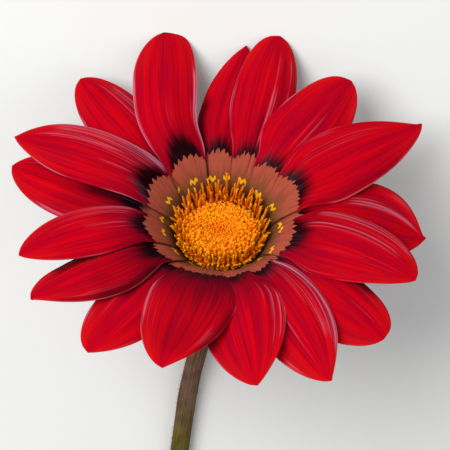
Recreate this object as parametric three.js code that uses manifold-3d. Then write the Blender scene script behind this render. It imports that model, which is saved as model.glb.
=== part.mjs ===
// A picked gazania bloom with its leafless stem, lying on a surface.
// The bloom leans forward on the tips of two front petals and on the straight end of its stem.
// Millimetres, +Z up, surface at Z = 0, stem running towards -Y.
//
// The bloom is modelled in a frame of its own: X to the right, Y towards the front of the bloom,
// Z along the bloom's axis, with Z = 0 where the petals leave the receptacle.
import * as THREE from "three";
import { mergeVertices } from "three/addons/utils/BufferGeometryUtils.js";
import Module from "manifold-3d";

const wasm = await Module();
wasm.setup();

// ---- Driving dimensions ----
const CLEARANCE = 0.3; // gap between touching pieces

// Bloom pose
const BLOOM_LEAN = 50; // degrees from upright, towards +Y
const BLOOM_CENTRE = new THREE.Vector3(0.641, 37.05, 24.85);

// Ray florets (petals)
const PETAL_THICKNESS = 0.6;
const ROOT_RADIUS = 8.4; // circle on which the petals are set
const ROOT_START = 1.05; // where a petal begins on the scale of its own length
const CLAW_WIDTH = 3.4; // petal width at its root
const SPOT_LENGTH = 11.0; // basal spot, the part of a petal that forms the bloom's cup
const CUP_RISE = 51; // degrees, slope of the basal spots
const CUP_BEND = { start: 5.5, length: 10.5 }; // where a petal turns from the cup into its flat blade
const SWING_REACH = 14; // stretch over which a petal takes its own heading
const ROLL_BEND = { start: 4, length: 12 }; // where it takes its sideways tilt
const ARCH_BEND = { start: 5, length: 12 }; // where it takes its arch
const FLATTEST_ARCH = 1e-3; // radians
const CURL_START = 10;
const DROOP_START = 16;
const TIER_STEPS = [
  { share: 0.55, start: 0, length: 5 }, // where a petal rises to its tier
  { share: 0.45, start: 7, length: 10 },
];
const TIP_WIDTH = 0.7;
const TIP_TAPER = 2.2;
const PETAL_STEPS = { along: 13, across: 5, fine: 8, crowding: 1.3 }; // rows crowd towards the tip
const RING = { inner: 5.3, outer: 8.6, bottom: -0.7, top: 0.4, segments: 34 };

// One row for each petal, anticlockwise from the front left.
// azimuth, swing, curl: heading at the root, turn near the root and turn along the blade, degrees
// bend: where the swing starts, mm
// length, width: mm; widest: share of the length where the petal is widest
// lift, droop: slope of the blade and its fall towards the tip, degrees; roll: sideways tilt, degrees
// arch: angle of the arc across the blade, degrees; fullness: small for a blunt tip, near 1 for a sharp one
// spotWidth: width at the end of the basal spot, mm; tier: height above the lowest layer of petals, mm
const PETALS = [
  petal(91.5, -14.4, 4, 0, 35.6, 11.8, 0.52, 3, 0, 0, 40, 0.88, 7.4, 0.0),
  petal(119, -27.4, 11, 0, 40.1, 12.9, 0.7, 6, 12, 0, 50, 0.44, 9.2, 2.0),
  petal(137, -9.5, 4, 0, 38.3, 12.8, 0.62, 3, 8, 0, 40, 0.58, 7.0, 0.0),
  petal(154.5, -6, 4, 23.5, 38.9, 13.2, 0.62, 7, 14, 0, 60, 0.88, 9.8, 2.2),
  petal(175, -17, 4, 2, 37.8, 15.0, 0.6, 3, 8, 0, 45, 0.65, 7.0, 0.0),
  petal(194, -7, 4, 23, 35.6, 11.8, 0.58, 9, 20, 3, 60, 0.74, 7.4, 2.4),
  petal(215, -8, 4, 0, 36.5, 13.0, 0.55, 5, 12, 8, 55, 0.8, 7.0, 1.2),
  petal(232.5, -1.5, 4, 0, 35.0, 13.6, 0.6, 3, 10, 0, 40, 0.7, 7.0, 0.0),
  petal(256.5, -4.5, 4, 0, 33.9, 17.4, 0.5, 9, 14, 5, 45, 0.8, 11.0, 2.3),
  petal(277.5, 3.5, 4, 0, 35.3, 16.8, 0.5, 6, 14, 10, 55, 0.78, 8.4, 1.4),
  petal(299.5, -2, 4, 0, 38.2, 15.0, 0.56, 5, 14, 9, 55, 0.85, 8.0, 0.9),
  petal(313.5, 7.5, 4, -4, 36.8, 15.6, 0.6, 4, 12, 0, 45, 0.5, 7.0, 0.0),
  petal(337.5, 11.5, 4, -27, 35.9, 16.0, 0.48, 8, 24, 0, 70, 0.66, 10.6, 2.0),
  petal(358, 12, 4, -42, 35.5, 18.4, 0.64, 3, 12, 0, 40, 1.0, 7.0, 0.0),
  petal(19.5, 11, 4, -2, 39.3, 15.0, 0.47, 6, 16, 8, 50, 1.0, 10.0, 2.8),
  petal(45.7, 5, 4, 0, 34.5, 15.0, 0.53, 6, 10, 5, 50, 0.52, 8.6, 2.3),
  petal(67.5, 9.5, 4, 1.5, 38.5, 13.4, 0.6, 5, 9, 10, 80, 0.52, 7.2, 1.6),
];

// Disc florets
const DOME = { radius: 7.8, bottom: 0.7, shoulder: 1.5, top: 2.8, fullness: 2.4, segments: 20, rows: 4 };
const BUDS = { count: 88, radius: 0.6, taper: 0.6, height: 0.7, sides: 4, reach: 6.4, spread: 25, spreadPower: 2 };
const RODS = { radius: 0.42, tipRadius: 0.34, sides: 4, sink: 0.6, sway: 3, lengthSway: 0.1 };
const ROD_ROWS = [
  { count: 34, root: 7.5, base: 1.6, lean: 65, length: 4.3, turn: 0 },
  { count: 26, root: 6.9, base: 2.0, lean: 77, length: 3.0, turn: 5.5 },
];
const GOLDEN_ANGLE = 137.508;

// Involucre: the cup's outline and the lobes' lines hold radius and height
const CUP = { bottom: -13.0, foot: 2.7, shoulder: -1.1, rim: 8.6, boss: 4.9, bossTop: 0.3, segments: 20 };
const CUP_SIDE = [[3.7, -12.3], [5.0, -10.2], [6.0, -7.4], [6.7, -4.6], [7.6, -2.4]];
const LOBE = { thickness: 0.7, rise: 0.2, middleShare: 0.8, tipWidth: 0.3 };
const LOBE_ROWS = [
  { count: 13, width: 2.8, root: [6.3, -6.4], middle: [8.1, -3.6], tip: [9.3, -1.1], turn: 0 },
  { count: 15, width: 2.6, root: [7.3, -3.4], middle: [9.6, -0.9], tip: [11.1, 1.2], turn: 12 },
];

// Stem
const STEM_RADIUS = 1.95;
const STEM_NECK = { radius: 2.3, share: 0.25 }; // where it meets the involucre, and the share of the bend it tapers over
const STEM_SIDES = 10;
const STEM_STEPS = { bend: 24, straight: 10 };
const STEM_HEADING = 8; // degrees, from -Y towards -X
const STEM_TOUCHDOWN = new THREE.Vector2(-7.4, -44); // plan place, from the bloom centre
const STEM_REST_LENGTH = 65.16; // stretch that lies on the surface
const STEM_BEND_PULL = { top: 12, end: 17 }; // handles of the bend's curve

const SURFACE_BLOCK = { width: 200, depth: 20 }; // what the petal tips are cut flat with

const MATERIALS = {
  petal: new THREE.MeshStandardMaterial({ color: 0xb5121b, roughness: 0.6, metalness: 0 }),
  floret: new THREE.MeshStandardMaterial({ color: 0xf08a10, roughness: 0.7, metalness: 0 }),
  bract: new THREE.MeshStandardMaterial({ color: 0x5f7a3a, roughness: 0.7, metalness: 0 }),
  stem: new THREE.MeshStandardMaterial({ color: 0x8a7b66, roughness: 0.8, metalness: 0 }),
};

function petal(azimuth, swing, bend, curl, length, width, widest, lift, droop, roll, arch, fullness, spotWidth, tier) {
  return { azimuth, swing, bend, curl, length, width, widest, lift, droop, roll, arch, fullness, spotWidth, tier };
}

// ---- Solids ----
const radians = THREE.MathUtils.degToRad;
const share = (x, start, length) => THREE.MathUtils.clamp((x - start) / length, 0, 1);
const ease = (x, start, length) => THREE.MathUtils.smoothstep(x, start, start + length);
const polar = (radius, angle, z) => new THREE.Vector3(radius * Math.cos(angle), radius * Math.sin(angle), z);

function solidFrom(geometry) {
  const plain = new THREE.BufferGeometry();
  const source = geometry.index ? geometry.toNonIndexed() : geometry;
  plain.setAttribute("position", source.getAttribute("position"));
  const merged = mergeVertices(plain, 1e-4);
  return new wasm.Manifold(
    new wasm.Mesh({
      numProp: 3,
      vertProperties: merged.attributes.position.array,
      triVerts: new Uint32Array(merged.index.array),
    }),
  );
}

function geometryFrom(solid) {
  const mesh = solid.getMesh();
  const geometry = new THREE.BufferGeometry();
  geometry.setAttribute("position", new THREE.BufferAttribute(mesh.vertProperties, 3));
  geometry.setIndex(new THREE.BufferAttribute(mesh.triVerts, 1));
  return geometry;
}

const joined = (solids) => wasm.Manifold.union(solids);

function meshOf(name, solid, material) {
  const mesh = new THREE.Mesh(geometryFrom(solid), material);
  mesh.name = name;
  return mesh;
}

// A closed blade between two faces that hold the same rows of points, both split into triangles alike.
function blade(upper, lower) {
  const positions = [];
  const push = (a, b, c) => positions.push(...a.toArray(), ...b.toArray(), ...c.toArray());
  const quad = (a, b, c, d) => {
    push(a, b, c);
    push(a, c, d);
  };
  const rows = upper.length - 1;
  const columns = upper[0].length - 1;
  for (let i = 0; i < rows; i++) {
    for (let j = 0; j < columns; j++) {
      push(upper[i][j], upper[i + 1][j], upper[i + 1][j + 1]);
      push(upper[i][j], upper[i + 1][j + 1], upper[i][j + 1]);
      push(lower[i][j], lower[i + 1][j + 1], lower[i + 1][j]);
      push(lower[i][j], lower[i][j + 1], lower[i + 1][j + 1]);
    }
    quad(upper[i][0], lower[i][0], lower[i + 1][0], upper[i + 1][0]);
    quad(upper[i + 1][columns], lower[i + 1][columns], lower[i][columns], upper[i][columns]);
  }
  for (let j = 0; j < columns; j++) {
    quad(upper[0][j + 1], lower[0][j + 1], lower[0][j], upper[0][j]);
    quad(upper[rows][j], lower[rows][j], lower[rows][j + 1], upper[rows][j + 1]);
  }
  const geometry = new THREE.BufferGeometry();
  geometry.setAttribute("position", new THREE.Float32BufferAttribute(positions, 3));
  return solidFrom(geometry);
}

// A closed tube through rings that hold the same number of points, anticlockwise seen from its last ring.
function tube(rings) {
  const positions = [];
  const push = (...points) => points.forEach((point) => positions.push(...point.toArray()));
  const sides = rings[0].length;
  const first = rings[0];
  const last = rings.at(-1);
  for (let k = 0; k < sides; k++) {
    const next = (k + 1) % sides;
    for (let i = 0; i + 1 < rings.length; i++) {
      push(rings[i][k], rings[i][next], rings[i + 1][next]);
      push(rings[i][k], rings[i + 1][next], rings[i + 1][k]);
    }
    if (k > 0 && next > 0) {
      push(first[0], first[next], first[k]);
      push(last[0], last[k], last[next]);
    }
  }
  const geometry = new THREE.BufferGeometry();
  geometry.setAttribute("position", new THREE.Float32BufferAttribute(positions, 3));
  return solidFrom(geometry);
}

// A tapered rod with few sides, from a place along a direction.
function rod(from, direction, length, radius, tipRadius, sides) {
  const turn = new THREE.Quaternion().setFromUnitVectors(new THREE.Vector3(0, 0, 1), direction);
  const ring = (r, distance) =>
    Array.from({ length: sides }, (_, k) =>
      polar(r, (k * 2 * Math.PI) / sides, distance).applyQuaternion(turn).add(from),
    );
  return tube([ring(radius, 0), ring(tipRadius, length)]);
}

// A turned solid about the bloom's axis. The profile runs from low to high, outside.
function turned(profile, segments) {
  const shape = new THREE.LatheGeometry(
    profile.map(([r, z]) => new THREE.Vector2(r, z)),
    segments,
  );
  shape.rotateX(Math.PI / 2);
  return solidFrom(shape);
}

// ---- Ray florets ----
function petalWidth(p, s) {
  const widestAt = p.widest * p.length;
  if (s < SPOT_LENGTH) return CLAW_WIDTH + (p.spotWidth - CLAW_WIDTH) * share(s, 0, SPOT_LENGTH);
  if (s < widestAt) {
    const swell = Math.sin((Math.PI / 2) * share(s, SPOT_LENGTH, widestAt - SPOT_LENGTH));
    return p.spotWidth + (p.width - p.spotWidth) * swell;
  }
  const fall = 1 - share(s, widestAt, p.length - widestAt) ** TIP_TAPER;
  return Math.max(p.width * fall ** p.fullness, TIP_WIDTH);
}

// The directions along, across and up from the petal at a distance s from its root.
function petalFrame(p, s) {
  const bend = 1 - ease(s, CUP_BEND.start, CUP_BEND.length);
  const fall = p.droop * share(s, DROOP_START, p.length - DROOP_START);
  const slope = radians(p.lift + (CUP_RISE - p.lift) * bend - fall);
  const turn = p.swing * ease(s, p.bend, SWING_REACH);
  const heading = radians(p.azimuth + turn + p.curl * share(s, CURL_START, p.length - CURL_START));
  const along = polar(Math.cos(slope), heading, Math.sin(slope));
  const across = polar(1, heading + Math.PI / 2, 0);
  const up = along.clone().cross(across);
  const roll = radians(p.roll) * ease(s, ROLL_BEND.start, ROLL_BEND.length);
  return { along, across: across.applyAxisAngle(along, roll), up: up.applyAxisAngle(along, roll) };
}

// How far a petal is raised at a distance s, as it lies on the ones below it.
function tierHeight(p, s) {
  return TIER_STEPS.reduce((sum, step) => sum + p.tier * step.share * ease(s, step.start, step.length), 0);
}

function petalSolid(p) {
  const { along: rows, across: columns, fine, crowding } = PETAL_STEPS; // fine: steps along the midrib in each row
  const midrib = polar(ROOT_RADIUS, radians(p.azimuth), 0);
  const upper = [];
  const lower = [];
  const place = (i) => ROOT_START + (p.length - ROOT_START) * (1 - (1 - i / rows) ** crowding);
  for (let i = 0; i <= rows; i++) {
    const s = place(i);
    const { across, up } = petalFrame(p, s);
    const arch = radians(p.arch) * ease(s, ARCH_BEND.start, ARCH_BEND.length) + FLATTEST_ARCH;
    const radius = p.width / arch;
    const top = [];
    const under = [];
    for (let j = 0; j <= columns; j++) {
      const angle = ((j / columns - 0.5) * petalWidth(p, s)) / radius;
      const normal = up.clone().multiplyScalar(Math.cos(angle)).addScaledVector(across, Math.sin(angle));
      const point = midrib
        .clone()
        .addScaledVector(up, -radius)
        .addScaledVector(normal, radius);
      point.z += tierHeight(p, s);
      top.push(point.clone().addScaledVector(normal, PETAL_THICKNESS / 2));
      under.push(point.addScaledVector(normal, -PETAL_THICKNESS / 2));
    }
    upper.push(top);
    lower.push(under);
    const step = i < rows ? (place(i + 1) - s) / fine : 0;
    for (let k = 0; k < fine; k++) midrib.addScaledVector(petalFrame(p, s + (k + 0.5) * step).along, step);
  }
  return blade(upper, lower);
}

// Everything below the surface that the bloom lies on, in the bloom's own frame.
function surfaceBlock(toBloomFrame) {
  const { width, depth } = SURFACE_BLOCK;
  const block = new THREE.BoxGeometry(width, width, depth);
  block.translate(0, 0, -depth / 2);
  block.applyMatrix4(toBloomFrame);
  return solidFrom(block);
}

function rayFlorets(toBloomFrame) {
  const { inner, outer, bottom, top, segments } = RING;
  const ring = turned([[inner, bottom], [outer, bottom], [outer, top], [inner, top], [inner, bottom]], segments);
  const whorl = joined([ring, ...PETALS.map(petalSolid)]);
  return whorl.subtract(surfaceBlock(toBloomFrame));
}

// ---- Disc florets ----
function domeHeight(r) {
  const crown = Math.cos((Math.PI / 2) * (r / DOME.radius) ** DOME.fullness);
  return DOME.shoulder + (DOME.top - DOME.shoulder) * crown;
}

function discFlorets() {
  const profile = [[0, DOME.bottom], [DOME.radius - 0.6, DOME.bottom]];
  for (let k = DOME.rows; k >= 0; k--) {
    const r = (DOME.radius * k) / DOME.rows;
    profile.push([r, domeHeight(r)]);
  }
  const pieces = [turned(profile, DOME.segments)];
  for (let k = 0; k < BUDS.count; k++) {
    const r = BUDS.reach * Math.sqrt((k + 0.5) / BUDS.count);
    const angle = radians(k * GOLDEN_ANGLE);
    const outward = radians(90 - BUDS.spread * (r / BUDS.reach) ** BUDS.spreadPower);
    const direction = polar(Math.cos(outward), angle, Math.sin(outward));
    const from = polar(r, angle, domeHeight(r)).addScaledVector(direction, -BUDS.height);
    pieces.push(rod(from, direction, 2 * BUDS.height, BUDS.radius, BUDS.radius * BUDS.taper, BUDS.sides));
  }
  for (const row of ROD_ROWS) {
    for (let k = 0; k < row.count; k++) {
      const angle = radians((k * 360) / row.count + row.turn);
      const lean = radians(row.lean + RODS.sway * Math.sin(5 * k));
      const direction = polar(Math.cos(lean), angle, Math.sin(lean));
      const from = polar(row.root, angle, row.base).addScaledVector(direction, -RODS.sink);
      const length = row.length * (1 + RODS.lengthSway * Math.sin(7 * k)) + RODS.sink;
      pieces.push(rod(from, direction, length, RODS.radius, RODS.tipRadius, RODS.sides));
    }
  }
  return joined(pieces);
}

// ---- Involucre ----
function lobe(row, k) {
  const angle = radians((k * 360) / row.count + row.turn);
  const across = polar(1, angle + Math.PI / 2, 0);
  const stations = [
    { at: row.root, width: row.width },
    { at: row.middle, width: row.width * LOBE.middleShare },
    { at: row.tip, width: LOBE.tipWidth },
  ];
  const upper = [];
  const lower = [];
  for (const { at: [r, z], width } of stations) {
    const sides = [-width / 2, width / 2];
    upper.push(sides.map((x) => polar(r - LOBE.thickness, angle, z + LOBE.rise).addScaledVector(across, x)));
    lower.push(sides.map((x) => polar(r, angle, z).addScaledVector(across, x)));
  }
  return blade(upper, lower);
}

function involucre() {
  const { bottom, foot, shoulder, rim, boss, bossTop, segments } = CUP;
  const outside = [[0, bottom], [foot, bottom], ...CUP_SIDE, [rim, shoulder]];
  const cup = turned([...outside, [boss, shoulder], [boss, bossTop], [0, bossTop]], segments);
  const lobes = LOBE_ROWS.flatMap((row) => Array.from({ length: row.count }, (_, k) => lobe(row, k)));
  return joined([cup, ...lobes]);
}

// ---- Stem ----
// A tube along a line of points whose lowest facet always faces down.
function stemSolid(bloomMatrix) {
  const facetDrop = Math.cos(Math.PI / STEM_SIDES);
  const neck = new THREE.Vector3(0, 0, CUP.bottom - CLEARANCE).applyMatrix4(bloomMatrix);
  const away = new THREE.Vector3(0, 0, -1).transformDirection(bloomMatrix);
  const heading = radians(STEM_HEADING);
  const along = new THREE.Vector3(-Math.sin(heading), -Math.cos(heading), 0);
  const touchdown = new THREE.Vector3(
    BLOOM_CENTRE.x + STEM_TOUCHDOWN.x,
    BLOOM_CENTRE.y + STEM_TOUCHDOWN.y,
    STEM_RADIUS * facetDrop,
  );
  const bend = new THREE.CubicBezierCurve3(
    neck,
    neck.clone().addScaledVector(away, STEM_BEND_PULL.top),
    touchdown.clone().addScaledVector(along, -STEM_BEND_PULL.end),
    touchdown,
  );
  const stations = [];
  for (let k = 0; k <= STEM_STEPS.bend; k++) {
    const t = k / STEM_STEPS.bend;
    const radius = STEM_RADIUS + (STEM_NECK.radius - STEM_RADIUS) * (1 - ease(t, 0, STEM_NECK.share));
    stations.push({ centre: bend.getPoint(t), tangent: bend.getTangent(t), radius });
  }
  for (let k = 1; k <= STEM_STEPS.straight; k++) {
    const distance = (STEM_REST_LENGTH * k) / STEM_STEPS.straight;
    stations.push({ centre: touchdown.clone().addScaledVector(along, distance), tangent: along, radius: STEM_RADIUS });
  }
  const rings = stations.map(({ centre, tangent, radius }) => {
    const side = new THREE.Vector3(0, 0, 1).cross(tangent).normalize();
    const down = side.clone().cross(tangent);
    return Array.from({ length: STEM_SIDES }, (_, k) => {
      const angle = ((k + 0.5) * 2 * Math.PI) / STEM_SIDES;
      return centre
        .clone()
        .addScaledVector(down, radius * Math.cos(angle))
        .addScaledVector(side, radius * Math.sin(angle));
    });
  });
  return tube(rings);
}

// ---- The part ----
const bloom = new THREE.Group();
bloom.position.copy(BLOOM_CENTRE);
bloom.rotation.x = -radians(BLOOM_LEAN);
bloom.updateMatrixWorld(true);
bloom.add(meshOf("ray_florets", rayFlorets(bloom.matrixWorld.clone().invert()), MATERIALS.petal));
bloom.add(meshOf("disc_florets", discFlorets(), MATERIALS.floret));
bloom.add(meshOf("involucre", involucre(), MATERIALS.bract));

const group = new THREE.Group();
group.add(bloom);
group.add(meshOf("stem", stemSolid(bloom.matrixWorld), MATERIALS.stem));

export default group;
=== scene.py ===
"""Looks of a picked gazania bloom with its leafless stem, lying on a surface.

The bloom's pieces are shaped in a frame of its own, in millimetres: X to the right, Y towards the front
of the bloom and Z along its axis, with Z = 0 where the petals leave the receptacle. BLOOM takes them to
the part's frame."""

import random
from collections import namedtuple
from math import cos, pi, radians, sin, sqrt

import bpy
import numpy as np
from bpy.props import FloatProperty, FloatVectorProperty, IntProperty, PointerProperty
from mathutils import Matrix, Vector
from mathutils.geometry import interpolate_bezier


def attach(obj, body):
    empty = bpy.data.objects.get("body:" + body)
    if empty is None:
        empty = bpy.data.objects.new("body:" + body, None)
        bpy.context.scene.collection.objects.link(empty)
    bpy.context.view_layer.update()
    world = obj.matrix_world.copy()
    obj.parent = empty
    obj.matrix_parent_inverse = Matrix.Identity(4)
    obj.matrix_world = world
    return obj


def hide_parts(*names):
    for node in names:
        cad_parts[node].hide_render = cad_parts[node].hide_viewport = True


bl_info = {
    "name": "Gazania Bloom",
    "version": (1, 0, 0),
    "blender": (4, 5, 0),
    "location": "View3D > Sidebar > Gazania",
    "description": "Builds the looks of a picked gazania bloom with its leafless stem",
    "category": "Add Mesh",
}

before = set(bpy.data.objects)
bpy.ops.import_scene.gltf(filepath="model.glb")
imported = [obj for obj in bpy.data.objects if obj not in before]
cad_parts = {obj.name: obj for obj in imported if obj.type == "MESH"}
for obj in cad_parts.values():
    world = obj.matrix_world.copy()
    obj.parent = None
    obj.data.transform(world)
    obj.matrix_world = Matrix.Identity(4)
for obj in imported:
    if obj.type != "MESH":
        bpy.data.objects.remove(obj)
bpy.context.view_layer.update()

# ---- Places and sizes, in millimetres and degrees ----
MM = 0.001
FLOOR_GAP = 0.00002  # metres between the floor and the lowest points
CLEARANCE = 0.3
BLOOM_LEAN = 50
BLOOM_CENTRE = Vector((0.641, 37.05, 24.85))
TO_METRES = Matrix.Scale(MM, 4)
BLOOM_PLACE = Matrix.Translation(BLOOM_CENTRE) @ Matrix.Rotation(-radians(BLOOM_LEAN), 4, "X")
BLOOM = TO_METRES @ BLOOM_PLACE

# Petals
ROOT_RADIUS = 8.4
ROOT_START = 1.05  # where a petal begins on the scale of its own length
CLAW_WIDTH = 3.4
SPOT_LENGTH = 11.0
TWIN_MARKS = {"petal_front": 1.55, "petal_right_1": 2.5}  # how far two yellow marks lie from the midrib
CUP_RISE = 51
CUP_BEND = (5.5, 10.5)  # start and length of the turn from the cup into the flat blade
SWING_REACH = 14
ROLL_BEND = (4, 12)
ARCH_BEND = (5, 12)
FLATTEST_ARCH = 1e-3
DROOP_START = 16
CURL_START = 10
TIER_STEPS = [(0.55, 0, 5), (0.45, 7, 10)]  # shares of a petal's rise to its tier, and where they come
TIP_WIDTH = 0.7
TIP_TAPER = 2.2
TIP_ROUND = 0.5  # length of the rounded end
PETAL_ROWS, PETAL_COLUMNS = 96, 44
MIDRIB_STEPS = 600
ROW_CROWDING = 1.25  # rows crowd towards the tip
PLEATS = 5
PLEAT_RISE, PLEAT_FALL = 8, 7  # lengths over which the pleats begin and end
FOLD_RISE, FOLD_FALL = 4, 5  # lengths over which a fold begins and ends
MARGIN_ROLL = 0.12  # how far the margins curl down
THIN_MARGIN = 0.4  # thickness at the margins, as a share of the middle's

# Disc
DOME = {"radius": 8.1, "bottom": 0.45, "shoulder": 1.2, "top": 2.8, "fullness": 2.2}
DOME_RINGS = 12
BUD_LENGTH = 1.9
BUD_REACH = 6.4
BUD_SHIFT = 1.1  # how far the closed florets lie towards the back of the disc
BUD_FLATTENING = 0.86  # depth of their patch as a share of its width
ROD_LENGTH = 6  # an open floret's model, which a row's florets are scaled from
ROD_TOP = 6.2  # where its colours end
ROD_SINK = 0.8
ROD_SPREAD = 11  # degrees by which the florets at the back stand steeper
ROD_GROWTH = 0.14  # how much longer the florets at the front are
ROD_CROWDING = 0.3  # how much closer the florets at the back stand
ROD_BULGE = 0.4  # how far out of the ring those stand
# Rows of open florets, from the outside in
Rods = namedtuple("Rods", "number root base lean length turn")
ROD_ROWS = [
    Rods(50, 7.9, 0.7, 62, 3, 2.2),
    Rods(42, 7.4, 1.2, 69, 5, 0),
    Rods(40, 6.9, 1.6, 75, 4, 4.1),
    Rods(36, 6.3, 1.9, 80, 3.2, 1.7),
    Rods(32, 5.5, 2.2, 84, 2.8, 6),
]
GOLDEN_ANGLE = 137.508

# Involucre
CUP_OUTLINE = [(2.7, -13), (3.7, -12.3), (5, -10.2), (6, -7.4), (6.7, -4.6), (7.6, -2.4), (8.6, -1.1)]
BOSS_OUTLINE = [(4.9, -1.1), (4.9, 0.3)]
CUP_BOTTOM = -13.0
CUP_SIDES = 78
BRACTS = 13
LOBE_ROWS = [
    {"count": 13, "width": 2.8, "path": [(6.3, -6.4), (8.1, -3.6), (9.3, -1.1)], "turn": 0},
    {"count": 15, "width": 2.6, "path": [(7.3, -3.4), (9.6, -0.9), (11.1, 1.2)], "turn": 12},
]
LOBE_INSET = 0.25

# Stem
STEM_SIDES, STEM_ROWS = 40, 220
SOLID_RADIUS, SOLID_FACETS = 1.95, 10  # of the solid that the stem stands for
STEM_HEADING = 8
STEM_TOUCHDOWN = (-7.4, -44)  # from the bloom's centre
STEM_REST_LENGTH = 65.16
STEM_PULL = (12, 17)  # handles of the bend's curve, at its top and its end
BEND_POINTS, REST_POINTS = 90, 60
STEM_RIBS = 13

# Camera
CAMERA_TILT = 16  # degrees from straight down, towards the front of the bloom
CAMERA_DISTANCE = 450
VIEW_WIDTH = 86.7  # how much the picture takes in at that distance
AIM_RIGHT, AIM_UP = 0.77, 1.93  # where the camera aims, from the bloom's centre
SENSOR = 36.0

Petal = namedtuple(
    "Petal",
    "name azimuth swing bend curl length width widest lift droop roll arch fullness spot foot mark tier"
    " lop dark shade folds",
)
# A fold is a low ridge with painted sheen on it: its place across the petal in percent, from 0 at the
# clockwise margin, half its width in the same percent, where it starts and ends in millimetres from the
# root, and how strong its painted sheen is in percent. Below zero it is a hollow with painted shade, as
# dark as the number says.
Fold = namedtuple("Fold", "place spread start end pale")


def petal(name, *values):
    """A row of the table: the petal's name, a number for each column and then its folds."""
    numbers = len(Petal._fields) - 2
    folds = [Fold(place / 100, spread / 100, start, end, pale / 100)
             for place, spread, start, end, pale in values[numbers:]]
    return Petal(f"petal_{name}", *values[:numbers], folds)
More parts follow.
